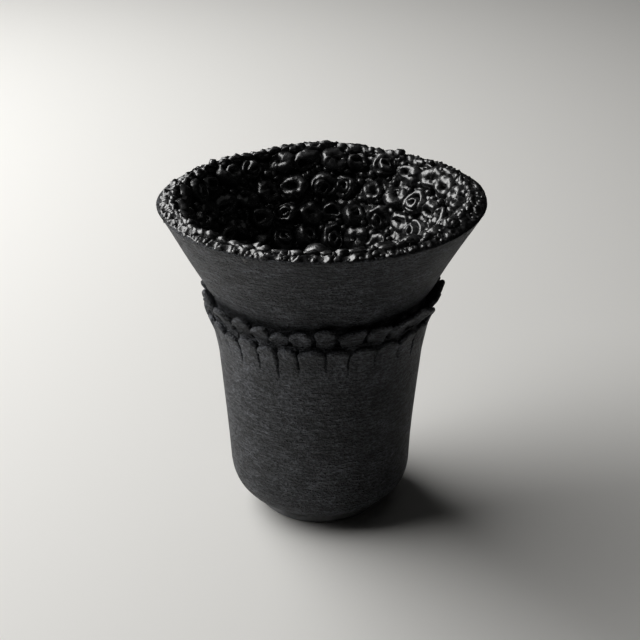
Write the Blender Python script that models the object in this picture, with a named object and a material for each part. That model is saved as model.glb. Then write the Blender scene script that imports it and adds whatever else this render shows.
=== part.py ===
"""A black clay vase: a matt body with a flared collar, two rows of clay petals round its waist,
a lumpy burnished lip, and four rows of small burnished clay rings lining the mouth.

The vase stands on Z = 0 with its axis on Z. Lengths are in metres.
"""

import math

import bmesh
import bpy
import numpy as np
from mathutils import Matrix, Vector
from mathutils.geometry import interpolate_bezier

MM = 0.001
GAP = 0.3 * MM  # the slip line left between two pieces of clay

# Driving dimensions
MOUTH_RADIUS = 90.0 * MM  # outer edge of the lip
LIP_EDGE_HEIGHT = 187.5 * MM  # height of that edge
WAIST_RADIUS = 59.2 * MM
WAIST_HEIGHT = 122.0 * MM  # where the collar starts to flare
BODY_RADIUS = 52.3 * MM  # at the top of the rounded base
BASE_CURVE_HEIGHT = 26.0 * MM
FOOT_RADIUS = 35.3 * MM
FOOT_HEIGHT = 5.5 * MM
FOOT_WIDTH = 9.0 * MM
WALL = 7.0 * MM  # thickness of the clay, square to its surface
FLOOR = 8.0 * MM

# Where the body, the collar and the lip are luted together
COLLAR_BASE = 126.0 * MM
LIP_BASE = 182.5 * MM

TURN_STEPS = 48  # facets round each turned piece

# The petals: a row of single ones below, then a row pinched from one strip
LOWER_PETAL_COUNT = 26
UPPER_PETAL_COUNT = 28
STEPS_PER_PETAL = 4
LOWER_PETALS = {"base": 103.0 * MM, "tip": 128.0 * MM, "tip_radius": 65.2 * MM, "turn": 0.5}
UPPER_PETALS = {"base": 124.0 * MM, "tip": 138.5 * MM, "tip_radius": 67.6 * MM, "turn": 0.0}
PETAL_THICKNESS = 2.2 * MM
PETAL_FEATHER = 0.7 * MM  # thickness at the smeared lower edge
PETAL_NOTCH = 3.6 * MM  # how far a frill dips between two petals
PETAL_TUCK = 1.0 * MM  # how much closer to the wall it is there

# The rings: rolled coils bent into ovals and pressed on the flared inner wall, top row first
RING_COIL_RADIUS = 2.1 * MM
RING_HEIGHT = 15.6 * MM  # outer size along the slope
TOP_RING_WIDTH = 13.6 * MM  # outer size round the mouth, where each ring stands alone
RING_OVERLAP = 2.2 * MM  # how far two rings of a joined row bite into each other
RING_STAND_OFF = 0.6 * MM  # clears the flat ring from the curved wall behind it
RING_LIFT = 0.7 * MM  # every second ring of a joined row is pressed on this much further in
RING_FACETS = 10
TOP_RING_COUNT = 26
TOP_RING_DEPTH = 3.6 * MM  # from the lip's edge down the slope to the first row's centres
RING_ROW_PITCH = 16.2 * MM
LOWER_RING_COUNTS = [26, 22, 20]  # even, so that the joined rows close on themselves


def material(name, grey, roughness):
    """A neutral fired clay of that linear grey."""
    made = bpy.data.materials.new(name)
    made.use_nodes = True
    shader = made.node_tree.nodes["Principled BSDF"]
    shader.inputs["Base Color"].default_value = (grey, grey, grey * 1.02, 1.0)
    shader.inputs["Roughness"].default_value = roughness
    shader.inputs["Metallic"].default_value = 0.0
    made.diffuse_color = (grey, grey, grey, 1.0)
    return made


def curve(start, start_handle, end_handle, end, points):
    """Points (radius, height) along a Bezier stretch of an outline."""
    knots = [Vector((radius, height, 0.0)) for radius, height in (start, start_handle, end_handle, end)]
    return [(point.x, point.y) for point in interpolate_bezier(*knots, points)]


def outer_outline():
    """The outside of the clay wall, from the foot to the lip's edge."""
    base = curve(
        (FOOT_RADIUS + 2.2 * MM, FOOT_HEIGHT + GAP),
        (FOOT_RADIUS + 7.7 * MM, FOOT_HEIGHT + 3.0 * MM),
        (BODY_RADIUS - 0.9 * MM, BASE_CURVE_HEIGHT - 13.5 * MM),
        (BODY_RADIUS, BASE_CURVE_HEIGHT),
        9,
    )
    belly = curve(
        (BODY_RADIUS, BASE_CURVE_HEIGHT),
        (BODY_RADIUS + 1.3 * MM, 58.0 * MM),
        (WAIST_RADIUS - 2.0 * MM, 92.0 * MM),
        (WAIST_RADIUS, WAIST_HEIGHT),
        7,
    )
    flare = curve(
        (WAIST_RADIUS, WAIST_HEIGHT),
        (WAIST_RADIUS + 1.0 * MM, WAIST_HEIGHT + 15.0 * MM),
        (MOUTH_RADIUS - 22.5 * MM, LIP_EDGE_HEIGHT - 38.5 * MM),
        (MOUTH_RADIUS, LIP_EDGE_HEIGHT),
        13,
    )
    return base + belly[1:] + flare[1:]


def inner_outline(outer):
    """The outside moved in by the wall's thickness, square to it, above the floor."""
    floor_top = FOOT_HEIGHT + GAP + FLOOR
    moved = []
    for before, here, after in zip(outer, outer[1:], outer[2:] + outer[-1:]):
        along = Vector((after[0] - before[0], after[1] - before[1])).normalized()
        radius, height = here[0] - along.y * WALL, here[1] + along.x * WALL
        if height > floor_top + 3.0 * MM:
            moved.append((radius, height))
    return moved


OUTER = outer_outline()
INNER = inner_outline(OUTER)


def radius_at(outline, height):
    return float(np.interp(height, [point[1] for point in outline], [point[0] for point in outline]))


def between(outline, low, high):
    """The stretch of an outline from one height to another, its ends worked out."""
    inside = [point for point in outline if low < point[1] < high]
    return [(radius_at(outline, low), low), *inside, (radius_at(outline, high), high)]


def add_object(name, mesh, finish, place=None):
    made = bpy.data.objects.new(name, mesh)
    bpy.context.scene.collection.objects.link(made)
    if not mesh.materials:
        mesh.materials.append(finish)
    if place is not None:
        made.matrix_world = place
    return made


def finish_mesh(bm, name, sharp_degrees=35.0):
    """Turns a bmesh into a smooth-shaded mesh whose faces point outwards."""
    bmesh.ops.remove_doubles(bm, verts=bm.verts, dist=1e-6)
    bmesh.ops.recalc_face_normals(bm, faces=bm.faces)
    mesh = bpy.data.meshes.new(name)
    bm.to_mesh(mesh)
    bm.free()
    mesh.shade_smooth()
    mesh.set_sharp_from_angle(angle=math.radians(sharp_degrees))
    return mesh


def turned(outline, steps, closed=True):
    """A bmesh of the outline (radius, height) spun round Z. An open outline starts and ends on the axis."""
    bm = bmesh.new()
    verts = [bm.verts.new((radius, 0.0, height)) for radius, height in outline]
    edges = [bm.edges.new(pair) for pair in zip(verts, verts[1:])]
    if closed:
        edges.append(bm.edges.new((verts[-1], verts[0])))
    bmesh.ops.spin(
        bm,
        geom=verts + edges,
        cent=(0.0, 0.0, 0.0),
        axis=(0.0, 0.0, 1.0),
        angle=2 * math.pi,
        steps=steps,
        use_merge=True,
    )
    return bm


def make_foot(clay):
    """A low coil under the base, with its lower outer edge wiped round."""
    edge = 1.1 * MM
    inner = FOOT_RADIUS - FOOT_WIDTH
    outline = [
        (inner, 0.0),
        (FOOT_RADIUS - edge, 0.0),
        (FOOT_RADIUS - 0.3 * edge, 0.3 * edge),
        (FOOT_RADIUS + 0.2 * MM, edge),
        (FOOT_RADIUS + 1.8 * MM, FOOT_HEIGHT),
        (inner, FOOT_HEIGHT),
    ]
    add_object("foot_ring", finish_mesh(turned(outline, TURN_STEPS), "foot_ring"), clay)


def make_body(clay):
    """The thrown cup of the vase: floor, rounded base and tall wall, up to the collar."""
    floor_top = FOOT_HEIGHT + GAP + FLOOR
    inside = [point for point in INNER if point[1] < COLLAR_BASE - GAP]
    corner = inside[0]
    outline = [
        (0.0, OUTER[0][1]),
        *between(OUTER, OUTER[0][1], COLLAR_BASE - GAP),
        (radius_at(INNER, COLLAR_BASE - GAP), COLLAR_BASE - GAP),
        *reversed(inside),
        (corner[0] - 5.0 * MM, floor_top + 0.8 * MM),
        (corner[0] - 12.0 * MM, floor_top),
        (0.0, floor_top),
    ]
    add_object("body_wall", finish_mesh(turned(outline, TURN_STEPS, closed=False), "body_wall"), clay)


def make_collar(clay):
    """The flared collar, luted on the body behind the petals."""
    outline = between(OUTER, COLLAR_BASE, LIP_BASE - GAP) + list(
        reversed(between(INNER, COLLAR_BASE, LIP_BASE - GAP))
    )
    add_object("flared_collar", finish_mesh(turned(outline, TURN_STEPS), "flared_collar"), clay)


def make_lip(burnished):
    """The thick lip on the collar's end, sloping up from its outer edge to the rings."""
    inner = radius_at(INNER, LIP_EDGE_HEIGHT + 3.0 * MM)
    outline = [
        (radius_at(OUTER, LIP_BASE), LIP_BASE),
        (MOUTH_RADIUS, LIP_EDGE_HEIGHT),
        (MOUTH_RADIUS - 1.2 * MM, LIP_EDGE_HEIGHT + 2.4 * MM),
        (MOUTH_RADIUS - 3.6 * MM, LIP_EDGE_HEIGHT + 4.2 * MM),
        (inner + 0.8 * MM, LIP_EDGE_HEIGHT + 4.5 * MM),
        (inner, LIP_EDGE_HEIGHT + 3.0 * MM),
        (radius_at(INNER, LIP_BASE), LIP_BASE),
    ]
    add_object("lip_band", finish_mesh(turned(outline, TURN_STEPS), "lip_band"), burnished)


def petal_outline(row):
    """A petal cut down its middle: feathered on the wall at its base, thick and leaning away at its tip."""
    base, tip, tip_radius = row["base"], row["tip"], row["tip_radius"]
    wall = radius_at(OUTER, base) + GAP
    return [
        (wall, base),
        (radius_at(OUTER, 0.5 * (base + tip)) + GAP, 0.5 * (base + tip)),
        (tip_radius - PETAL_THICKNESS, tip - 1.0 * MM),
        (tip_radius - 0.6 * PETAL_THICKNESS, tip),
        (tip_radius, tip - 1.2 * MM),
        (radius_at(OUTER, 0.5 * (base + tip)) + PETAL_THICKNESS, 0.5 * (base + tip)),
        (wall + PETAL_FEATHER, base),
    ]


def pinch(bm, row, count):
    """Dips the free edge and tucks it in where two petals meet, at each whole step of the count."""
    base, tip = row["base"], row["tip"]
    for vert in bm.verts:
        radius = math.hypot(vert.co.x, vert.co.y)
        steps = math.atan2(vert.co.y, vert.co.x) * count / (2 * math.pi) + row["turn"]
        across = 2.0 * (steps - round(steps - 0.5)) - 1.0
        height = max(0.0, (vert.co.z - base) / (tip - base))
        notch = across * across * height
        share = 1.0 - PETAL_TUCK * notch / radius
        vert.co = (vert.co.x * share, vert.co.y * share, vert.co.z - PETAL_NOTCH * notch)


def make_lower_petals(clay):
    """The lowest row: single petals smeared down the wall, each drawn by turning its outline through its own share."""
    row = LOWER_PETALS
    outline = petal_outline(row)
    share = 2 * math.pi / LOWER_PETAL_COUNT - 2 * GAP / outline[0][0]
    bm = bmesh.new()
    side = bm.faces.new([bm.verts.new((radius, 0.0, height)) for radius, height in outline])
    bmesh.ops.rotate(bm, verts=bm.verts, cent=(0.0, 0.0, 0.0), matrix=Matrix.Rotation(-0.5 * share, 3, "Z"))
    bmesh.ops.spin(
        bm,
        geom=[side],
        cent=(0.0, 0.0, 0.0),
        axis=(0.0, 0.0, 1.0),
        angle=share,
        steps=STEPS_PER_PETAL,
    )
    pinch(bm, row, LOWER_PETAL_COUNT)
    mesh = finish_mesh(bm, "petal", sharp_degrees=50.0)
    for index in range(LOWER_PETAL_COUNT):
        turn = Matrix.Rotation(2 * math.pi * index / LOWER_PETAL_COUNT, 4, "Z")
        add_object(f"petal_{index + 1:02d}", mesh, clay, turn)


def make_upper_petals(clay):
    """The row above, a strip of clay whose free upper edge is pinched into petals."""
    bm = turned(petal_outline(UPPER_PETALS), UPPER_PETAL_COUNT * STEPS_PER_PETAL)
    pinch(bm, UPPER_PETALS, UPPER_PETAL_COUNT)
    add_object("petal_frill", finish_mesh(bm, "petal_frill", sharp_degrees=50.0), clay)


def slope_frame(down, lift=0.0):
    """The middle of a ring (radius, height) at that distance down the slope, and the slope's unit direction."""
    top = Vector((radius_at(INNER, LIP_EDGE_HEIGHT + 2.0 * MM), LIP_EDGE_HEIGHT + 2.0 * MM))
    low = LIP_EDGE_HEIGHT - 30.0 * MM
    direction = (top - Vector((radius_at(INNER, low), low))).normalized()
    on_wall = top - direction * down
    on_wall.x = radius_at(INNER, on_wall.y)
    near = radius_at(INNER, on_wall.y + MM) - radius_at(INNER, on_wall.y - MM)
    slope = Vector((near, 2.0 * MM)).normalized()
    inward = Vector((-slope.y, slope.x))
    return on_wall + inward * (RING_COIL_RADIUS + RING_STAND_OFF + lift), slope


def ring_bmesh(width, sections):
    """An oval ring of rolled coil lying in the YZ plane, its length along Z."""
    bm = bmesh.new()
    coil = bmesh.ops.create_circle(bm, segments=sections, radius=RING_COIL_RADIUS)
    middle = 0.5 * width - RING_COIL_RADIUS
    bmesh.ops.transform(
        bm,
        verts=coil["verts"],
        matrix=Matrix.Translation((0.0, middle, 0.0)) @ Matrix.Rotation(math.pi / sections, 4, "Z"),
    )
    bmesh.ops.spin(
        bm,
        geom=coil["verts"] + list(bm.edges),
        cent=(0.0, 0.0, 0.0),
        axis=(1.0, 0.0, 0.0),
        angle=2 * math.pi,
        steps=RING_FACETS,
        use_merge=True,
    )
    stretch = (0.5 * RING_HEIGHT - RING_COIL_RADIUS) / middle
    for vert in bm.verts:
        distance = math.hypot(vert.co.y, vert.co.z)
        direction = vert.co.z / distance
        vert.co.z += direction * middle * (stretch - 1.0)
    return bm


def ring_place(down, turn, lift=0.0):
    """Carries an upright ring at the origin to its place on the flared wall, turned round the axis."""
    centre, slope = slope_frame(down, lift)
    lean = math.atan2(slope.x, slope.y)
    return (
        Matrix.Rotation(turn, 4, "Z")
        @ Matrix.Translation((centre.x, 0.0, centre.y))
        @ Matrix.Rotation(lean, 4, "Y")
    )


def make_top_rings(burnished):
    """The first row under the lip, each ring a piece of its own on one shared mesh."""
    mesh = finish_mesh(ring_bmesh(TOP_RING_WIDTH, sections=5), "mouth_ring")
    for index in range(TOP_RING_COUNT):
        turn = 2 * math.pi * index / TOP_RING_COUNT
        add_object(f"mouth_ring_{index + 1:02d}", mesh, burnished, ring_place(TOP_RING_DEPTH, turn))


def make_ring_row(name, count, down, burnished):
    """A closed garland of rings that bite into their neighbours: the odd rings united with the even ones."""
    centre, _ = slope_frame(down)
    width = 2 * math.pi * centre.x / count + RING_OVERLAP
    halves = []
    for first in (0, 1):
        joined = bmesh.new()
        for index in range(first, count, 2):
            one = ring_bmesh(width, sections=4 + first)
            place = ring_place(down, 2 * math.pi * index / count, first * RING_LIFT)
            bmesh.ops.transform(one, matrix=place, verts=one.verts)
            mesh = bpy.data.meshes.new("ring")
            one.to_mesh(mesh)
            one.free()
            joined.from_mesh(mesh)
            bpy.data.meshes.remove(mesh)
        halves.append(joined)
    row = add_object(name, finish_mesh(halves[0], name), burnished)
    others = add_object(name + "_others", finish_mesh(halves[1], name + "_others"), burnished)
    others.hide_render = True
    others.display_type = "WIRE"
    union = row.modifiers.new("luted", "BOOLEAN")
    union.operation = "UNION"
    union.solver = "EXACT"
    union.object = others


def main():
    for obj in list(bpy.data.objects):
        bpy.data.objects.remove(obj, do_unlink=True)
    clay = material("matt_black_clay", grey=0.034, roughness=0.85)
    burnished = material("burnished_black_clay", grey=0.012, roughness=0.28)
    make_foot(clay)
    make_body(clay)
    make_collar(clay)
    make_lip(burnished)
    make_lower_petals(clay)
    make_upper_petals(clay)
    make_top_rings(burnished)
    for number, count in enumerate(LOWER_RING_COUNTS, start=2):
        make_ring_row(f"ring_row_{number}", count, TOP_RING_DEPTH + (number - 1) * RING_ROW_PITCH, burnished)


main()
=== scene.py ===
"""A hand-built vase of black Oaxacan clay: matt walls scraped smooth, two rows of pinched petals round
the waist, and a mouth lined with small burnished rings under a pebbled lip.

Lengths are in metres and the vase stands on Z = 0 with its axis on Z. Angles round the vase run from
the front, where the camera stands, towards its right-hand side.
"""

import math
import random

import bmesh
import bpy
from mathutils import Matrix, Vector, noise


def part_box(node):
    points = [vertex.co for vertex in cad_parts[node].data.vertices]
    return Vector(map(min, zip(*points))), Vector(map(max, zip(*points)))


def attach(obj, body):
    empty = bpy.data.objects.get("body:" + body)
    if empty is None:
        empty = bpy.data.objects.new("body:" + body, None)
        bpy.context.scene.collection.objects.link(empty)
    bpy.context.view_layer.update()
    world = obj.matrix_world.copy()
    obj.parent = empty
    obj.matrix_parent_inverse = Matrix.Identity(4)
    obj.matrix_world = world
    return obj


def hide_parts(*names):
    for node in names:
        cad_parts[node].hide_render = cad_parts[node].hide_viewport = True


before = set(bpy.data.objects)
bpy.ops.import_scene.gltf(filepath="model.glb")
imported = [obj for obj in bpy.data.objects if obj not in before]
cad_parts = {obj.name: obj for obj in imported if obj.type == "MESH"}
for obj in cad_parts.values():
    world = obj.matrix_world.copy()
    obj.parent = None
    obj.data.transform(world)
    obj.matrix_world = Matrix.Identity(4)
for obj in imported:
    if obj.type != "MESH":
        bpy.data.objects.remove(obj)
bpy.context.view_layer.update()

# Blender's vector noise takes its offsets from the clock unless it is given a seed
noise.seed_set(11)

MM = 0.001

# Where the pieces of clay meet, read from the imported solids
LIP_LOW, LIP_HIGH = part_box("lip_band")
WALL_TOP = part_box("body_wall")[1].z
COLLAR_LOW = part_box("flared_collar")[0].z
FOOT_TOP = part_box("foot_ring")[1].z
MOUTH_RADIUS = LIP_HIGH.x
LIP_EDGE = LIP_LOW.z + 5.0 * MM
COLLAR_TOP = LIP_LOW.z + 4.9 * MM

# How far one piece of clay reaches into the next, so that no seam opens
OVERLAP = 0.4 * MM

# The sockets of a colour mix, which share their names with those of its other kinds
MIX_A, MIX_B, MIX_RESULT = 6, 7, 2


# ---------------------------------------------------------------- colour and shader helpers


def linear(code):
    """The linear colour of an sRGB hex value such as "2b2b2c"."""
    values = [int(code[start : start + 2], 16) / 255 for start in (0, 2, 4)]
    return tuple(v / 12.92 if v <= 0.04045 else ((v + 0.055) / 1.055) ** 2.4 for v in values) + (1.0,)


def add(tree, kind, settings=None, links=None):
    """Adds a node. A setting is a property, the value of an input or a ramp's stops; a link feeds an input.

    An input goes by its name, or by its number where several share one.
    """
    made = tree.nodes.new(kind)
    for name, value in (settings or {}).items():
        if name == "stops":
            elements = made.color_ramp.elements
            while len(elements) < len(value):
                elements.new(0.5)
            for element, (position, colour) in zip(elements, value):
                element.position, element.color = position, colour
        elif isinstance(name, str) and hasattr(made, name):
            setattr(made, name, value)
        else:
            made.inputs[name].default_value = value
    for name, output in (links or {}).items():
        tree.links.new(output, made.inputs[name])
    return made


def blank_material(name):
    made = bpy.data.materials.new(name)
    made.use_nodes = True
    made.node_tree.nodes.clear()
    return made, made.node_tree


def grey(value):
    return (value, value, value, 1.0)


def scraped_clay():
    """Unglazed clay fired black in smoke, scraped with a rib while leather-hard and left matt.

    The eye gets a dark neutral grey with a fine sandy grain, short level drag marks from the grit under
    the rib, upright finger wipes below the petals, and a few open pits.
    """
    made, tree = blank_material("scraped matt black clay")
    coords = add(tree, "ShaderNodeTexCoord").outputs["Object"]
    # grit 0.3 mm across in the real clay, drawn 1.8 mm wide and 1.1 mm high so that it shows
    flat = add(tree, "ShaderNodeMapping", {"Scale": (550.0, 550.0, 900.0)}, {"Vector": coords})
    grit = add(
        tree,
        "ShaderNodeTexNoise",
        {"Scale": 1.0, "Detail": 3.0, "Roughness": 0.6},
        {"Vector": flat.outputs[0]},
    )
    # drag marks about 8 mm long and 1 mm high
    level = add(tree, "ShaderNodeMapping", {"Scale": (120.0, 120.0, 900.0)}, {"Vector": coords})
    drags = add(
        tree,
        "ShaderNodeTexNoise",
        {"Scale": 1.0, "Detail": 3.0, "Roughness": 0.6},
        {"Vector": level.outputs[0]},
    )
    drag_lines = add(
        tree,
        "ShaderNodeValToRGB",
        {"stops": [(0.38, grey(0.0)), (0.51, grey(1.0))]},
        {"Fac": drags.outputs["Fac"]},
    )
    # finger wipes 3 mm wide and 25 mm tall, coming in from 85 mm up to 112 mm and gone behind the petals
    upright = add(tree, "ShaderNodeMapping", {"Scale": (330.0, 330.0, 40.0)}, {"Vector": coords})
    wipes = add(
        tree,
        "ShaderNodeTexNoise",
        {"Scale": 1.0, "Detail": 2.0, "Roughness": 0.5},
        {"Vector": upright.outputs[0]},
    )
    height = add(tree, "ShaderNodeSeparateXYZ", links={"Vector": coords})
    rise = add(
        tree,
        "ShaderNodeMapRange",
        {"From Min": 85.0 * MM, "From Max": 112.0 * MM},
        {"Value": height.outputs["Z"]},
    )
    fall = add(
        tree,
        "ShaderNodeMapRange",
        {"From Min": 132.0 * MM, "From Max": 124.0 * MM},
        {"Value": height.outputs["Z"]},
    )
    wiped = add(tree, "ShaderNodeMath", {"operation": "MULTIPLY"}, {0: rise.outputs[0], 1: fall.outputs[0]})
    strokes = add(
        tree,
        "ShaderNodeMix",
        {"data_type": "FLOAT"},
        {"Factor": wiped.outputs[0], "A": drag_lines.outputs[0], "B": wipes.outputs["Fac"]},
    )
    # finger and rib dapple, 15 mm
    dapple = add(
        tree, "ShaderNodeTexNoise", {"Scale": 65.0, "Detail": 4.0, "Roughness": 0.6}, {"Vector": coords}
    )
    # open pits about 4 mm apart, four out of five of them closed
    pits = add(tree, "ShaderNodeTexVoronoi", {"Scale": 230.0, "Randomness": 1.0}, {"Vector": coords})
    pit_holes = add(
        tree,
        "ShaderNodeValToRGB",
        {"stops": [(0.08, grey(0.0)), (0.20, grey(1.0))]},
        {"Fac": pits.outputs["Distance"]},
    )
    pit_choice = add(tree, "ShaderNodeSeparateColor", links={"Color": pits.outputs["Color"]})
    few = add(tree, "ShaderNodeMath", {"operation": "GREATER_THAN", 1: 0.80}, {0: pit_choice.outputs[0]})
    pit_depth = add(
        tree,
        "ShaderNodeMix",
        {"data_type": "FLOAT", "A": 1.0},
        {"Factor": few.outputs[0], "B": pit_holes.outputs[0]},
    )
    body = add(
        tree,
        "ShaderNodeValToRGB",
        {"stops": [(0.34, linear("484a4d")), (0.50, linear("54565a")), (0.66, linear("606267"))]},
        {"Fac": dapple.outputs["Fac"]},
    )
    speckle = add(
        tree,
        "ShaderNodeValToRGB",
        {"stops": [(0.38, grey(0.42)), (0.50, grey(0.94)), (0.64, grey(1.75))]},
        {"Fac": grit.outputs["Fac"]},
    )
    colour = add(
        tree,
        "ShaderNodeMix",
        {"data_type": "RGBA", "blend_type": "MULTIPLY", "Factor": 1.0},
        {MIX_A: body.outputs[0], MIX_B: speckle.outputs[0]},
    )
    # the drag marks are darker, down to 0.55 of the colour of the skin between them
    drag_darkening = add(
        tree, "ShaderNodeMath", {"operation": "MULTIPLY_ADD", 1: 0.5, 2: 0.55}, {0: drag_lines.outputs[0]}
    )
    drag_darkened = add(
        tree,
        "ShaderNodeMix",
        {"data_type": "RGBA", "blend_type": "MULTIPLY", "Factor": 1.0},
        {MIX_A: colour.outputs[MIX_RESULT], MIX_B: drag_darkening.outputs[0]},
    )
    rough = add(
        tree,
        "ShaderNodeValToRGB",
        {"stops": [(0.30, grey(0.42)), (0.70, grey(0.62))]},
        {"Fac": grit.outputs["Fac"]},
    )
    # the skin's relief, from the broadest to the finest
    low = add(
        tree, "ShaderNodeBump", {"Strength": 0.5, "Distance": 0.8 * MM}, {"Height": dapple.outputs["Fac"]}
    )
    lines = add(
        tree,
        "ShaderNodeBump",
        {"Strength": 1.0, "Distance": 0.8 * MM},
        {"Height": strokes.outputs[0], "Normal": low.outputs[0]},
    )
    holes = add(
        tree,
        "ShaderNodeBump",
        {"Strength": 0.9, "Distance": 0.5 * MM},
        {"Height": pit_depth.outputs[0], "Normal": lines.outputs[0]},
    )
    fine = add(
        tree,
        "ShaderNodeBump",
        {"Strength": 1.0, "Distance": 3.2 * MM},
        {"Height": grit.outputs["Fac"], "Normal": holes.outputs[0]},
    )
    shader = add(
        tree,
        "ShaderNodeBsdfPrincipled",
        {"IOR": 1.5},
        {"Base Color": drag_darkened.outputs[MIX_RESULT], "Roughness": rough.outputs[0], "Normal": fine.outputs[0]},
    )
    add(tree, "ShaderNodeOutputMaterial", links={"Surface": shader.outputs[0]})
    return made


def worn_clay_with_painted_highlight():
    """The same clay wiped smooth with a wet finger, then worn by standing on tables.

    The eye gets a thin band round the foot that is smoother and a little lighter than the wall above it:
    partly wear, partly a painted highlight where its rounded edge catches the light.
    """
    made, tree = blank_material("worn matt black clay with painted highlight")
    coords = add(tree, "ShaderNodeTexCoord").outputs["Object"]
    # wear comes and goes over about 10 mm round the foot
    wear = add(
        tree, "ShaderNodeTexNoise", {"Scale": 100.0, "Detail": 3.0, "Roughness": 0.6}, {"Vector": coords}
    )
    # lighter than the wall above: partly wear, partly a painted highlight of the foot's rounded edge
    body = add(
        tree,
        "ShaderNodeValToRGB",
        {"stops": [(0.35, linear("606163")), (0.65, linear("8a8b8d"))]},
        {"Fac": wear.outputs["Fac"]},
    )
    soft = add(
        tree, "ShaderNodeBump", {"Strength": 0.4, "Distance": 0.3 * MM}, {"Height": wear.outputs["Fac"]}
    )
    shader = add(
        tree,
        "ShaderNodeBsdfPrincipled",
        {"IOR": 1.45, "Roughness": 0.5},
        {"Base Color": body.outputs[0], "Normal": soft.outputs[0]},
    )
    add(tree, "ShaderNodeOutputMaterial", links={"Surface": shader.outputs[0]})
    return made


def burnished_clay():
    """The same clay rubbed with a quartz pebble before firing, which closes its skin to a dark gloss.

    The eye gets near black with small soft lights on every lump, broken by rubbing marks.
    """
    made, tree = blank_material("burnished black clay")
    coords = add(tree, "ShaderNodeTexCoord").outputs["Object"]
    # thumb dents of 3 mm and pebble marks of 1 mm
    dents = add(
        tree, "ShaderNodeTexNoise", {"Scale": 330.0, "Detail": 2.0, "Roughness": 0.5}, {"Vector": coords}
    )
    marks = add(
        tree, "ShaderNodeTexNoise", {"Scale": 1000.0, "Detail": 2.0, "Roughness": 0.5}, {"Vector": coords}
    )
    body = add(
        tree,
        "ShaderNodeValToRGB",
        {"stops": [(0.3, linear("171718")), (0.7, linear("2c2c2d"))]},
        {"Fac": dents.outputs["Fac"]},
    )
    rough = add(
        tree,
        "ShaderNodeValToRGB",
        {"stops": [(0.35, grey(0.24)), (0.65, grey(0.42))]},
        {"Fac": marks.outputs["Fac"]},
    )
    soft = add(
        tree, "ShaderNodeBump", {"Strength": 0.4, "Distance": 0.5 * MM}, {"Height": dents.outputs["Fac"]}
    )
    fine = add(
        tree,
        "ShaderNodeBump",
        {"Strength": 0.15, "Distance": 0.2 * MM},
        {"Height": marks.outputs["Fac"], "Normal": soft.outputs[0]},
    )
    shader = add(
        tree,
        "ShaderNodeBsdfPrincipled",
        {"IOR": 1.9},
        {"Base Color": body.outputs[0], "Roughness": rough.outputs[0], "Normal": fine.outputs[0]},
    )
    add(tree, "ShaderNodeOutputMaterial", links={"Surface": shader.outputs[0]})
    return made


# ---------------------------------------------------------------- making pieces


# (degrees round the mouth, how far the rim stands off level in millimetres): it was never trimmed on a wheel
RIM_SAG = [
    (-180, 0.0),
    (-168, -1.5),
    (-156, -3.6),
    (-125, -3.8),
    (-100, -2.6),
    (-80, -0.8),
    (-60, 0.0),
    (100, 0.0),
    (125, -1.8),
    (152, -3.0),
    (166, -1.5),
    (180, 0.0),
]
RIM_DENT = 2.0 * MM


def bent(height):
    """How much of the rim's sag and dent there is at that height: none in the lower collar, all at the lip."""
    return fade(height, 150.0 * MM, 184.0 * MM)


def sag(place):
    """How far the clay at that place has sunk."""
    angle = math.degrees(math.atan2(place.x, -place.y))
    return MM * lookup(RIM_SAG, angle) * bent(place.z)


def dent(place):
    """How far the rim is pushed in on the left, where the pot was lifted before it was dry."""
    return RIM_DENT * bent(place.z) * fade(-place.x, 50.0 * MM, 86.0 * MM)


def piece(name, bm, material, stands_for):
    """Closes a bmesh into a finished piece that rides on the vase."""
    for vert in bm.verts:
        vert.co.x += dent(vert.co)
        vert.co.z += sag(vert.co)
    bmesh.ops.recalc_face_normals(bm, faces=bm.faces)
    mesh = bpy.data.meshes.new(name)
    bm.to_mesh(mesh)
    bm.free()
    mesh.shade_smooth()
    mesh.materials.append(material)
    made = bpy.data.objects.new(name, mesh)
    bpy.context.scene.collection.objects.link(made)
    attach(made, "root")
    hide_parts(*stands_for)
    return made


def spun(outline, turns, fine, closed=True):
    """The outline (radius, height) turned once round the axis, in coarse steps that are then cut finer."""
    same = 1e-6
    bm = bmesh.new()
    verts = [bm.verts.new((radius, 0.0, height)) for radius, height in outline]
    edges = [bm.edges.new(pair) for pair in zip(verts, verts[1:])]
    if closed:
        edges.append(bm.edges.new((verts[-1], verts[0])))
    bmesh.ops.spin(
        bm,
        geom=verts + edges,
        cent=(0, 0, 0),
        axis=(0, 0, 1),
        angle=2 * math.pi,
        steps=turns,
        use_merge=True,
    )
    bmesh.ops.remove_doubles(bm, verts=bm.verts, dist=same)
    level = [edge for edge in bm.edges if abs(edge.verts[0].co.z - edge.verts[1].co.z) < same]
    rounds = [edge for edge in level if abs(edge.verts[0].co.xy.length - edge.verts[1].co.xy.length) < same]
    bmesh.ops.subdivide_edges(bm, edges=rounds, cuts=fine - 1, use_grid_fill=True)
    return bm


def join(bm, part):
    """Adds a finished shape to a piece and lets go of it."""
    carrier = bpy.data.meshes.new("part")
    part.to_mesh(carrier)
    part.free()
    bm.from_mesh(carrier)
    bpy.data.meshes.remove(carrier)


def at(angle, radius, height):
    """A point round the vase, its angle in radians from the front towards the right."""
    return Vector((radius * math.sin(angle), -radius * math.cos(angle), height))


def cad_outline(nodes, heights, outside):
    """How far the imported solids' wall is from the axis at each height, on its outer or its inner side.

    A ray finds it, sent in from well outside the vase or out from the axis.
    """
    start, way = (0.3, Vector((-1, 0, 0))) if outside else (0.0, Vector((1, 0, 0)))
    found = []
    for height in heights:
        hits = [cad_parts[name].ray_cast(Vector((start, 0.0, height)), way) for name in nodes]
        radii = [place.x for hit, place, _, _ in hits if hit]
        if radii:
            found.append((height, max(radii) if outside else min(radii)))
    return found


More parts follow.
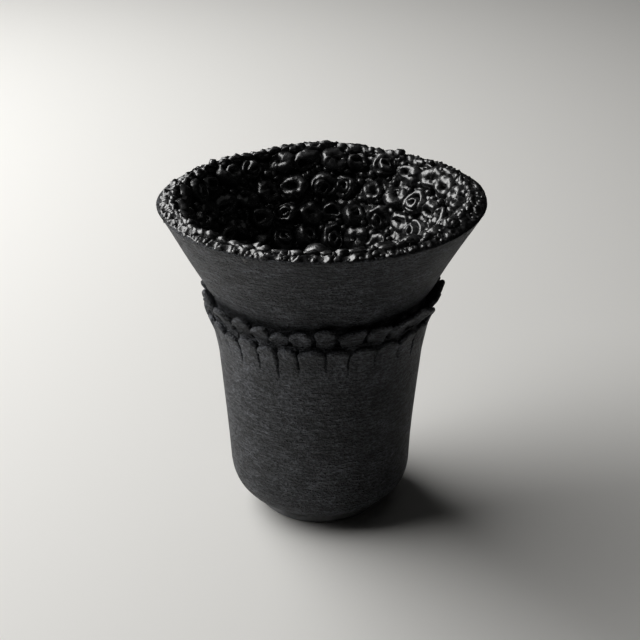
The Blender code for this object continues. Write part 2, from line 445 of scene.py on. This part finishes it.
def lookup(table, key):
    """The value for that key in a list of (key, value), held level past its ends."""
    if key <= table[0][0]:
        return table[0][1]
    for (low, first), (high, second) in zip(table, table[1:]):
        if key <= high:
            return first + (second - first) * (key - low) / (high - low)
    return table[-1][1]


def levels(low, high, step):
    """Even heights from low to high, about a step apart."""
    count = max(1, round((high - low) / step))
    return [low + (high - low) * index / count for index in range(count + 1)]


SHELLS = ("body_wall", "flared_collar", "lip_band")
FLOOR_TOP = 13.8 * MM
OUTLINE_STEP = 0.75 * MM
OUTER = cad_outline(SHELLS, levels(FOOT_TOP + OVERLAP, COLLAR_TOP, OUTLINE_STEP), outside=True)
INNER = cad_outline(SHELLS, levels(FLOOR_TOP + 0.6 * MM, LIP_HIGH.z - 1.6 * MM, OUTLINE_STEP), outside=False)


def outer(height):
    """The radius of the vase's outside at that height."""
    return lookup(OUTER, height)


def inner(height):
    """The radius of the vase's inside at that height."""
    return lookup(INNER, height)


def fade(value, low, high):
    """0 below low, 1 above high, with an eased rise between."""
    share = min(1.0, max(0.0, (value - low) / (high - low)))
    return share * share * (3.0 - 2.0 * share)


def hand_built(point):
    """How far the wall strays outwards at that point: a wobble over 70 mm and the rib's flats, 17 by 40 mm."""
    slow = noise.noise(point * 14.0)
    flats = noise.noise(Vector((point.x * 60.0, point.y * 60.0, point.z * 25.0)))
    return 0.7 * MM * (slow + 0.35 * flats)


def push(vert, distance):
    """Moves a vertex straight out from the axis."""
    radius = math.hypot(vert.co.x, vert.co.y)
    if radius > 1e-6:
        vert.co.x *= 1.0 + distance / radius
        vert.co.y *= 1.0 + distance / radius


def pebbled(point, size):
    """A pebble's height at that point: 1 on top, and 0 in the creases between pebbles about that far apart."""
    nearest = noise.voronoi(point / size)[0][0]
    return 1.0 - min(1.0, 1.3 * nearest) ** 2


# ---------------------------------------------------------------- walls


def make_foot(clay):
    """The foot coil, wiped round with a wet finger."""
    _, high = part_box("foot_ring")
    radius, top = high.x, high.z + OVERLAP
    within = radius - 11.0 * MM
    outline = [
        (within, 0.0),
        (radius - 2.0 * MM, 0.0),
        (radius - 0.9 * MM, 0.3 * MM),
        (radius - 0.2 * MM, 1.1 * MM),
        (radius + 0.2 * MM, 2.4 * MM),
        (radius + 0.1 * MM, 3.8 * MM),
        (radius - 0.5 * MM, high.z),
        (radius - 1.6 * MM, top),
        (within, top),
    ]
    bm = spun(outline, 120, fine=2)
    for vert in bm.verts:
        # the coil is uneven over 17 mm, but what stands on the floor stays flat
        if vert.co.z > 0.1 * MM:
            push(vert, 0.5 * MM * noise.noise(vert.co * 60.0))
    piece("foot", bm, clay, ["foot_ring"])


THUMB_DEPTH = 1.8 * MM


def thumbed(height):
    """How deep the thumb's hollow behind the upper petals is, from 0 to 1."""
    return fade(height, 125.0 * MM, 131.0 * MM) * (1.0 - fade(height, 134.0 * MM, 144.0 * MM))


def make_body(clay, spans):
    """The cup: floor, rounded base and tall wall, with the lower petals' smears dragged down it."""
    top = WALL_TOP + 1.0 * MM
    smears_from = 95.0 * MM
    # close together on the rounded base and in the smears, wide apart on the plain wall between them
    heights = levels(FOOT_TOP + OVERLAP, 30.0 * MM, 1.5 * MM) + levels(33.0 * MM, 94.0 * MM, 3.0 * MM)
    heights += levels(smears_from + 0.5 * MM, top, 0.9 * MM)
    outside = [(outer(z), z) for z in heights]
    inside = [(inner(z), z) for z in levels(FLOOR_TOP + 0.8 * MM, top, 8.0 * MM)]
    outline = [(0.0, FOOT_TOP + OVERLAP), *outside, *reversed(inside), (0.0, FLOOR_TOP)]
    bm = spun(outline, 120, fine=7, closed=False)
    for vert in bm.verts:
        radius = vert.co.xy.length
        # the seat on the foot and the middle of the floor stay true
        if vert.co.z < FOOT_TOP + MM or radius < 30.0 * MM:
            continue
        push(vert, hand_built(vert.co))
        # only the outer side of the wall is further out than this
        if vert.co.z > smears_from and radius > 54.0 * MM:
            dragged = smear(spans, math.atan2(vert.co.x, -vert.co.y), vert.co.z)
            push(vert, dragged - THUMB_DEPTH * thumbed(vert.co.z))
    piece("body", bm, clay, ["body_wall"])


def lines_mouth(place):
    """Whether that place on the collar is on its inner side."""
    return place.xy.length < outer(place.z) - 3.0 * MM


def make_collar(clay, gloss):
    """The flared collar, scraped level outside, and inside a burnished bed of pressed lumps for the rings."""
    low = COLLAR_LOW - 2.0 * MM
    outside = [(outer(z), z) for z in levels(low, COLLAR_TOP, 1.0 * MM)]
    inside = [(inner(z), z) for z in levels(low, COLLAR_TOP, 0.9 * MM)]
    bm = spun(outside + inside[::-1], 120, fine=5)
    for vert in bm.verts:
        lining = lines_mouth(vert.co)
        push(vert, hand_built(vert.co))
        if lining:
            # lumps 6 mm apart, standing 2.2 mm into the mouth, with creases 0.8 mm deep between them
            drift = noise.noise_vector(vert.co * 120.0) * 2.5 * MM
            push(vert, (0.8 - 3.0 * pebbled(vert.co + drift, 6.0 * MM)) * MM)
        else:
            push(vert, -THUMB_DEPTH * thumbed(vert.co.z))
    made = piece("collar", bm, clay, ["flared_collar"])
    made.data.materials.append(gloss)
    for face in made.data.polygons:
        if face.normal.xy.dot(face.center.xy) < 0.0 and lines_mouth(face.center):
            face.material_index = 1


# ---------------------------------------------------------------- petals

# Where one petal ends and the next begins, in degrees, for those in front; the rest share what is left
LOWER_FRONT = (-66.0, -54.8, -44.7, -32.5, -21.8, -10.9, 3.1, 14.6, 28.9, 43.9, 56.3)
UPPER_FRONT = (-59.0, -47.4, -34.8, -24.3, -14.4, -2.8, 8.3, 23.7, 34.4, 49.8, 63.2)
PETAL_SPAN = 12.9


def petal_spans(front, rng):
    """(start, end) in radians of every petal round the waist, from the first in front."""
    left = front[0] + 360.0 - front[-1]
    count = round(left / PETAL_SPAN)
    edges = [front[-1] + left * (index + rng.uniform(-0.14, 0.14)) / count for index in range(1, count)]
    edges = [*front, *edges, front[0] + 360.0]
    return [(math.radians(low), math.radians(high)) for low, high in zip(edges, edges[1:])]


def smear(spans, angle, height):
    """How far the clay dragged down from the lower petals stands proud of the wall, less its grooves."""
    # a groove wanders by up to 0.012 of a radian on its way down, and each ends at its own height
    angle += 0.012 * noise.noise(Vector((round(angle, 1) * 5.0, 0.0, height * 220.0)))
    while angle < spans[0][0]:
        angle += 2 * math.pi
    start, end = next((span for span in spans if angle <= span[1]), spans[-1])
    side = 2.0 * (angle - start) / (end - start) - 1.0
    nearest = start if side < 0.0 else end
    groove_end = (106.0 + 7.0 * noise.noise(Vector((round(nearest, 3) * 7.0, 0.0, 0.0)))) * MM
    ragged = 0.035 * noise.noise(Vector((0.0, 0.0, height * 500.0)))
    groove = fade(abs(side) + ragged, 0.88, 1.0) * fade(height, groove_end, groove_end + 9.0 * MM)
    return 2.0 * MM * fade(height, 96.0 * MM, 121.0 * MM) - 2.2 * MM * groove


def press_petal(bm, span, base, tip, lean, rng, spans=None):
    """One tongue of clay: smeared on the wall at its base, thick, rounded and leaning away at its tip.

    A lower petal gets the spans of its row and so runs into its own smear. One without them stands free.
    """
    free = spans is None
    start, end = span
    middle, half = (start + end) / 2, (end - start) / 2
    tip += rng.uniform(-1.2, 1.2) * MM * (1.8 if free else 1.0)
    lean += rng.uniform(-0.8, 0.8) * MM
    # one shoulder higher than the other, and one edge further out
    slope = rng.uniform(-1.0, 1.0) * MM * (2.6 if free else 1.0)
    curl = rng.uniform(-0.8, 0.8) * MM * (1.3 if free else 1.0)
    # a tip is round at 2 and nearly straight at 7
    square = rng.uniform(1.7, 7.0) if free else rng.uniform(2.4, 3.6)
    taper = rng.uniform(-0.12, 0.34) if free else 0.0
    # one in four of the free ones is folded
    fold = rng.choice((0.0, 0.0, 0.0, 1.3)) * MM if free else 0.0
    sheet = bmesh.ops.create_grid(bm, x_segments=9, y_segments=9, size=1.0)["verts"]
    for vert in sheet:
        across, up = vert.co.x, (vert.co.y + 1.0) / 2.0
        corner = fade(up, 0.60, 1.04)
        if free:
            narrowed = 0.94 - 0.10 * corner * corner - taper * (1.0 - up)
        else:
            narrowed = 0.985 - 0.05 * corner * corner
        angle = middle + across * half * narrowed
        dip = (0.04 + (0.20 if free else 0.15) * corner) * abs(across) ** square
        height = base + (tip - base) * up * (1.0 - dip) + slope * across * up
        edge = (0.3 + 0.8 * up) * MM * abs(across) ** 5
        if free:
            swell = 0.2 * MM + lean * up**1.7 + fold * math.sin(3.2 * across) * up
        else:
            dragged = smear(spans, middle + 0.55 * across * half, height)
            swell = dragged - 0.35 * MM * (1.0 - up) + lean * up**2.6
        radius = outer(height) + swell - edge + curl * across * up
        point = at(angle, radius, height)
        # fingermarks 7 mm across, deepest at the tip
        vert.co = point + noise.noise_vector(point * 140.0) * 0.7 * MM * up
    faces = list({face for vert in sheet for face in vert.link_faces})
    bmesh.ops.recalc_face_normals(bm, faces=faces)
    if sum(face.normal.xy.dot(face.calc_center_median().xy) for face in faces) < 0:
        bmesh.ops.reverse_faces(bm, faces=faces)
    bmesh.ops.solidify(bm, geom=faces, thickness=rng.uniform(2.6, 3.6) * MM)


def round_off(made):
    """Rounds a piece by subdividing it once."""
    soften = made.modifiers.new("thumbed round", "SUBSURF")
    soften.levels = soften.render_levels = 1


def make_petals(clay, spans, rng):
    """Both rows: the lower one smeared down the cup, the upper one standing free on the collar's base."""
    low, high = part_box("petal_01")
    bm = bmesh.new()
    for span in spans:
        press_petal(bm, span, low.z + 3.0 * MM, high.z - 3.2 * MM, 3.3 * MM, rng, spans)
    singles = [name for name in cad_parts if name.startswith("petal_") and name != "petal_frill"]
    round_off(piece("lower_petals", bm, clay, singles))
    low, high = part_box("petal_frill")
    bm = bmesh.new()
    for span in petal_spans(UPPER_FRONT, rng):
        # those on the right-hand side lean out 2 mm further
        turn = math.degrees(sum(span) / 2)
        lean = 5.2 * MM + 2.0 * MM * fade(turn, -10.0, 60.0) * (1.0 - fade(turn, 120.0, 200.0))
        press_petal(bm, span, low.z - 5.0 * MM, high.z - 2.2 * MM, lean, rng)
    round_off(piece("upper_petals", bm, clay, ["petal_frill"]))


# ---------------------------------------------------------------- lip


# Where the coil's slope starts and ends, and where the lumps pressed on it do
COIL_RIM, COIL_CREST = MOUTH_RADIUS - 1.8 * MM, LIP_HIGH.z - 3.8 * MM
LUMP_RIM, LUMP_CREST = MOUTH_RADIUS - 1.9 * MM, LIP_HIGH.z - 3.6 * MM
BORE = inner(LIP_EDGE)


def lip_height(share, crest):
    """The height of the lip's rounded slope: share runs from 0 at its outer edge to 1 at its crest."""
    return LIP_EDGE + (crest - LIP_EDGE) * (1.0 - (1.0 - share) ** 1.6)


def lip_place(turn, share, sink, yaw):
    """Stands a lump on the lip, sunk in by that much and turned by yaw on the slope."""
    radius = LUMP_RIM + (BORE - 1.0 * MM - LUMP_RIM) * share
    height = lip_height(share, LUMP_CREST) - 0.4 * MM - sink
    lean = Matrix.Rotation(math.radians(38.0 * (1.0 - share) ** 1.5), 4, "X")
    spot = Matrix.Translation((0.0, -radius, height))
    return Matrix.Rotation(turn, 4, "Z") @ spot @ lean @ Matrix.Rotation(yaw, 4, "Z")


def random_seed(rng):
    """Somewhere else in the noise, so that no two lumps or rings are alike."""
    return Vector((rng.uniform(0, 9), rng.uniform(0, 9), rng.uniform(0, 9)))


def pinch_of_clay(bm, place, sizes, rounds, rng):
    """A pinch of clay rolled between two fingers and pressed on: a lump with these three half-widths."""
    lump = bmesh.new()
    bmesh.ops.create_icosphere(lump, subdivisions=rounds, radius=1.0)
    seed = random_seed(rng)
    for vert in lump.verts:
        vert.co *= 1.0 + 0.6 * noise.noise(vert.co * 1.5 + seed)
    bmesh.ops.transform(lump, verts=lump.verts, matrix=place @ Matrix.Diagonal((*sizes, 1.0)))
    join(bm, lump)


def lip_coil():
    """The coil itself: from under the collar's edge, up the slope, over the crest and down inside."""
    # in millimetres: (down from the edge, in from the collar's outside)
    under = [(5.0, 2.0), (3.2, 0.6), (2.4, 0.1), (1.6, 0.1), (0.9, 0.1)]
    # (out from the bore, down from the crest), then (out from the bore, down from the edge)
    over = [(-1.8, 0.5), (-1.9, 1.2), (-1.7, 2.0), (-1.0, 3.2)]
    back = [(0.6, 2.0), (1.0, 5.0)]
    outline = [(outer(LIP_EDGE - down * MM) - tuck * MM, LIP_EDGE - down * MM) for down, tuck in under]
    outline.append((COIL_RIM, LIP_EDGE - 0.3 * MM))
    steps = 24
    for index in range(1, steps):
        share = index / steps
        outline.append((COIL_RIM + (BORE - 1.5 * MM - COIL_RIM) * share, lip_height(share, COIL_CREST)))
    outline += [(BORE + out * MM, COIL_CREST - down * MM) for out, down in over]
    outline += [(BORE + out * MM, LIP_EDGE - down * MM) for out, down in back]
    bm = spun(outline, 160, fine=5)
    bm.normal_update()
    moves = []
    for vert in bm.verts:
        # pressed into lumps 5.6 mm apart, with grit over 2 mm
        crusted = fade(vert.co.z, LIP_EDGE - 2.6 * MM, LIP_EDGE)
        lumps = 2.4 * pebbled(vert.co, 5.6 * MM) - 1.9 + 0.3 * noise.noise(vert.co * 520.0)
        moves.append(vert.normal * lumps * MM * crusted)
    for vert, move in zip(bm.verts, moves):
        vert.co += move
    return bm


def add_humps(bm, rng):
    """A row of humps pinched up along the crest, 8 to 11 mm long and leaning on one another."""
    turn = 0.0
    while turn < 2 * math.pi - 0.08:
        long = rng.uniform(4.0, 5.6) * MM
        turn += 0.82 * long / BORE
        place = lip_place(turn, rng.uniform(0.86, 1.0), rng.uniform(-1.0, 0.2) * MM, rng.uniform(-0.3, 0.3))
        pinch_of_clay(bm, place, (long, rng.uniform(1.7, 2.3) * MM, rng.uniform(2.0, 2.9) * MM), 2, rng)
        turn += 0.82 * long / BORE


def add_crust(bm, rng):
    """Small lumps all over the slope, drawn out into ridges across the coil on the left-hand side."""
    large, small = 280, 360
    for index in range(large + small):
        turn = rng.uniform(-math.pi, math.pi)
        ridged = 1.0 - fade(math.degrees(turn), -105.0, -60.0) if turn < 0.0 else 0.0
        ridged *= fade(math.degrees(turn), -150.0, -110.0)
        wide = (rng.uniform(1.9, 3.1) if index < large else rng.uniform(1.0, 1.8)) * MM
        long = wide * rng.uniform(0.8, 1.3) * (1.0 + 1.1 * ridged)
        sizes = (wide * (1.0 - 0.25 * ridged), long, wide * rng.uniform(0.6, 1.0))
        share = rng.uniform(0.34 * ridged, 0.90)
        place = lip_place(turn, share, rng.uniform(-0.1, 0.9) * MM, rng.uniform(-0.9, 0.9) * (1.0 - ridged))
        pinch_of_clay(bm, place, sizes, 1, rng)


def add_stub(bm):
    """One square stub of clay left standing at the back, on the right."""
    size = Matrix.Diagonal((5.8 * MM, 4.4 * MM, 5.4 * MM, 1.0))
    stub = bmesh.new()
    bmesh.ops.create_cube(stub, size=1.0)
    bmesh.ops.bevel(stub, geom=stub.edges, offset=0.14, segments=2, affect="EDGES")
    place = lip_place(math.radians(145.0), 0.94, -2.4 * MM, 0.2)
    bmesh.ops.transform(stub, verts=stub.verts, matrix=place @ size)
    join(bm, stub)


def make_lip(gloss):
    """The lip: a thick coil, humps along its crest, and a crust of small lumps on its slope."""
    rng = random.Random(3)
    bm = lip_coil()
    add_humps(bm, rng)
    add_crust(bm, rng)
    add_stub(bm)
    # no lump hangs far out over the edge: the finger that pressed it down ran round the outside
    for vert in bm.verts:
        over = vert.co.xy.length - MOUTH_RADIUS + 1.2 * MM
        if over > 0.0:
            push(vert, -0.6 * over)
    piece("lip", bm, gloss, ["lip_band"])


# ---------------------------------------------------------------- rings


def wall_place(turn, height, off):
    """Stands an upright shape on the inner wall: X goes round the mouth, Y up the slope, Z out of the wall."""
    reach = 1.5 * MM
    up = Vector((0.0, -(inner(height + reach) - inner(height - reach)), 2 * reach)).normalized()
    out = Vector((0.0, up.z, -up.y)).normalized()
    spot = Vector((0.0, -inner(height), height)) + out * off
    side = up.cross(out).normalized()
    upright = Matrix((side, up, out)).transposed().to_4x4()
    return Matrix.Rotation(turn, 4, "Z") @ Matrix.Translation(spot) @ upright


def roll_ring(bm, place, half_width, half_height, coil, depth, rng):
    """A coil of clay rolled thin, bent into an oval and pressed on. The hole in it never quite closes."""
    sides, facets = 10, 22
    coil = min(coil, half_width * 0.68)
    reach = half_width - coil
    ring = bmesh.new()
    bmesh.ops.create_circle(ring, segments=sides, radius=1.0)
    section = Matrix.Translation((reach, 0, 0)) @ Matrix.Rotation(math.pi / 2, 4, "X")
    bmesh.ops.transform(ring, verts=ring.verts, matrix=section @ Matrix.Diagonal((coil, depth, 1, 1)))
    bmesh.ops.spin(
        ring,
        geom=list(ring.verts) + list(ring.edges),
        cent=(0, 0, 0),
        axis=(0, 0, 1),
        angle=2 * math.pi,
        steps=facets,
        use_merge=True,
    )
    twist = rng.uniform(0, 2 * math.pi)
    pinch = rng.uniform(0.10, 0.45)
    stretch = (half_height - coil) / reach
    seed = random_seed(rng)
    for vert in ring.verts:
        angle = math.atan2(vert.co.y, vert.co.x)
        off = math.hypot(vert.co.x, vert.co.y) - reach
        thick = 1.0 + pinch * math.sin(angle + twist)
        middle = reach * (1.0 + 0.4 * pinch * math.sin(2 * angle + twist))
        vert.co.x = math.cos(angle) * (middle + off * thick)
        vert.co.y = math.sin(angle) * (middle * stretch + off * thick)
        vert.co.z = vert.co.z * thick + 0.6 * pinch * depth * math.cos(angle - twist)
        # fingertips push it out of round
        vert.co += noise.noise_vector(vert.co / (5.5 * MM) + seed) * 1.7 * MM
    bmesh.ops.subdivide_edges(ring, edges=ring.edges, cuts=1, smooth=1.0, use_grid_fill=True)
    ring.normal_update()
    bumps = [noise.noise(vert.co / (2.6 * MM) + seed) for vert in ring.verts]
    for vert, bump in zip(ring.verts, bumps):
        vert.co += vert.normal * bump * 0.6 * MM
    bmesh.ops.transform(ring, verts=ring.verts, matrix=place)
    join(bm, ring)


def press_pebble(bm, turn, height, rng):
    """A small lump pushed in where rings leave a gap."""
    lump = bmesh.new()
    bmesh.ops.create_icosphere(lump, subdivisions=1, radius=1.0)
    size = Matrix.Diagonal([rng.uniform(1.8, 3.8) * MM for _ in range(3)]).to_4x4()
    spin = Matrix.Rotation(rng.uniform(0.0, 3.0), 4, "Z") @ Matrix.Rotation(rng.uniform(0.0, 3.0), 4, "X")
    place = wall_place(turn, height, rng.uniform(0.8, 3.0) * MM)
    bmesh.ops.transform(lump, verts=lump.verts, matrix=place @ spin @ size)
    join(bm, lump)


# (rings in the row, height of their middles, half the height of one), both heights in millimetres
RING_ROWS = [(29, 181.2, 7.0), (27, 167.6, 7.6), (25, 153.8, 7.6), (22, 140.4, 7.4)]


def press_ring(bm, place, width, tall, depth, rng):
    """One of the four ways a ring was made and pressed on, none of them quite the same twice."""
    kind = rng.random()
    if kind < 0.30:
        # a thin ring with a second one inside it
        offset = (rng.uniform(-0.8, 0.8) * MM, rng.uniform(-1.2, 1.2) * MM, 0.8 * MM)
        within = place @ Matrix.Translation(offset)
        roll_ring(bm, place, width, tall, 2.2 * MM, depth * 0.8, rng)
        roll_ring(bm, within, width * 0.60, tall * 0.62, 1.9 * MM, depth, rng)
    elif kind < 0.45:
        # a slanting one
        place = place @ Matrix.Rotation(rng.choice((-0.6, 0.6)), 4, "Z")
        roll_ring(bm, place, width * 0.86, tall, 3.4 * MM, depth, rng)
    elif kind < 0.58:
        # a small one
        roll_ring(bm, place, width * 0.80, tall * 0.72, 2.0 * MM, depth, rng)
    else:
        # a thick one
        place = place @ Matrix.Rotation(rng.uniform(-0.25, 0.25), 4, "Z")
        roll_ring(bm, place, width, tall, rng.uniform(3.0, 4.4) * MM, depth, rng)


def make_rings(gloss):
    """Rows of rings down the inside of the collar, thick and uneven, some with a second ring inside them."""
    rng = random.Random(5)
    singles = [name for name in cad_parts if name.startswith("mouth_ring_")]
    names = [singles, ["ring_row_2"], ["ring_row_3"], ["ring_row_4"]]
    for row, ((count, height, half_height), replaced) in enumerate(zip(RING_ROWS, names)):
        bm = bmesh.new()
        for index in range(count):
            turn = 2 * math.pi * (index + 0.5 * (row % 2) + rng.uniform(-0.12, 0.12)) / count
            level = (height + rng.uniform(-1.2, 1.2)) * MM
            width = math.pi * inner(level) / count * rng.uniform(0.90, 1.08)
            tall = half_height * MM * rng.uniform(0.90, 1.08)
            depth = rng.uniform(3.4, 5.0) * MM
            tip = Matrix.Rotation(rng.uniform(-0.3, 0.3), 4, "X")
            lean = tip @ Matrix.Rotation(rng.uniform(-0.4, 0.4), 4, "Y")
            place = wall_place(turn, level, rng.uniform(1.4, 2.4) * MM) @ lean
            press_ring(bm, place, width, tall, depth, rng)
            for _ in range(2):
                aside = turn + math.pi / count * rng.uniform(0.7, 1.3)
                press_pebble(bm, aside, level + rng.choice((-1, 1)) * rng.uniform(4.0, 8.0) * MM, rng)
        # the side pressed into the wall is flattened well before it could come out through the collar
        for vert in bm.verts:
            over = vert.co.xy.length - outer(vert.co.z) + 4.0 * MM
            if over > 0.0:
                push(vert, -over)
        piece(f"ring_row_{row + 1}_pressed", bm, gloss, replaced)


# ---------------------------------------------------------------- stage


def make_floor():
    """A pale seamless floor, 16 m across so that its edge is never seen."""
    paper, tree = blank_material("pale seamless paper")
    shader = add(tree, "ShaderNodeBsdfPrincipled", {"Base Color": linear("e9e8e5"), "Roughness": 0.9})
    add(tree, "ShaderNodeOutputMaterial", links={"Surface": shader.outputs[0]})
    bm = bmesh.new()
    bmesh.ops.create_grid(bm, x_segments=1, y_segments=1, size=8.0)
    mesh = bpy.data.meshes.new("floor")
    bm.to_mesh(mesh)
    bm.free()
    mesh.materials.append(paper)
    floor = bpy.data.objects.new("floor", mesh)
    bpy.context.scene.collection.objects.link(floor)


def make_lights():
    """A large soft window light on the left and a little behind, a faint ceiling and a dim room."""
    window = bpy.data.lights.new("window", "AREA")
    window.shape = "RECTANGLE"
    window.size, window.size_y = 2.0, 1.0
    window.energy = 28.0
    window.color = (1.0, 0.997, 0.99)
    lamp = bpy.data.objects.new("window", window)
    azimuth, elevation, distance = math.radians(20.0), math.radians(43.0), 1.5
    lamp.location = (
        -distance * math.cos(azimuth) * math.cos(elevation),
        distance * math.sin(azimuth) * math.cos(elevation),
        distance * math.sin(elevation),
    )
    aim = Vector((0.0, 0.0, 0.1)) - lamp.location
    lamp.rotation_euler = aim.to_track_quat("-Z", "Y").to_euler()
    bpy.context.scene.collection.objects.link(lamp)

    ceiling = bpy.data.lights.new("ceiling", "AREA")
    ceiling.size = 1.6
    ceiling.energy = 1.0
    overhead = bpy.data.objects.new("ceiling", ceiling)
    overhead.location = (0.1, 0.1, 1.8)
    bpy.context.scene.collection.objects.link(overhead)

    world = bpy.data.worlds.new("dim room")
    world.use_nodes = True
    world.node_tree.nodes["Background"].inputs["Color"].default_value = (1.0, 0.98, 0.95, 1.0)
    world.node_tree.nodes["Background"].inputs["Strength"].default_value = 0.01
    bpy.context.scene.world = world
    bpy.context.scene.view_settings.view_transform = "Standard"
    bpy.context.scene.view_settings.look = "Medium High Contrast"


def make_camera():
    """A long lens looking down on the vase from in front, aimed at a point on its axis."""
    aim_height, distance, pitch = 112.6 * MM, 783.4 * MM, math.radians(26.31)
    lens = bpy.data.cameras.new("camera")
    lens.lens = 78.0
    lens.sensor_width = 36.0
    lens.clip_start = 0.05
    lens.clip_end = 50.0
    camera = bpy.data.objects.new("camera", lens)
    camera.location = (0.0, -distance * math.cos(pitch), aim_height + distance * math.sin(pitch))
    camera.rotation_euler = (math.pi / 2 - pitch, 0.0, 0.0)
    bpy.context.scene.collection.objects.link(camera)
    bpy.context.scene.camera = camera


make_camera()
make_floor()
make_lights()
matt = scraped_clay()
gloss = burnished_clay()
petal_rng = random.Random(11)
lower_spans = petal_spans(LOWER_FRONT, petal_rng)
make_foot(worn_clay_with_painted_highlight())
make_body(matt, lower_spans)
make_collar(matt, gloss)
make_petals(matt, lower_spans, petal_rng)
make_lip(gloss)
make_rings(gloss)
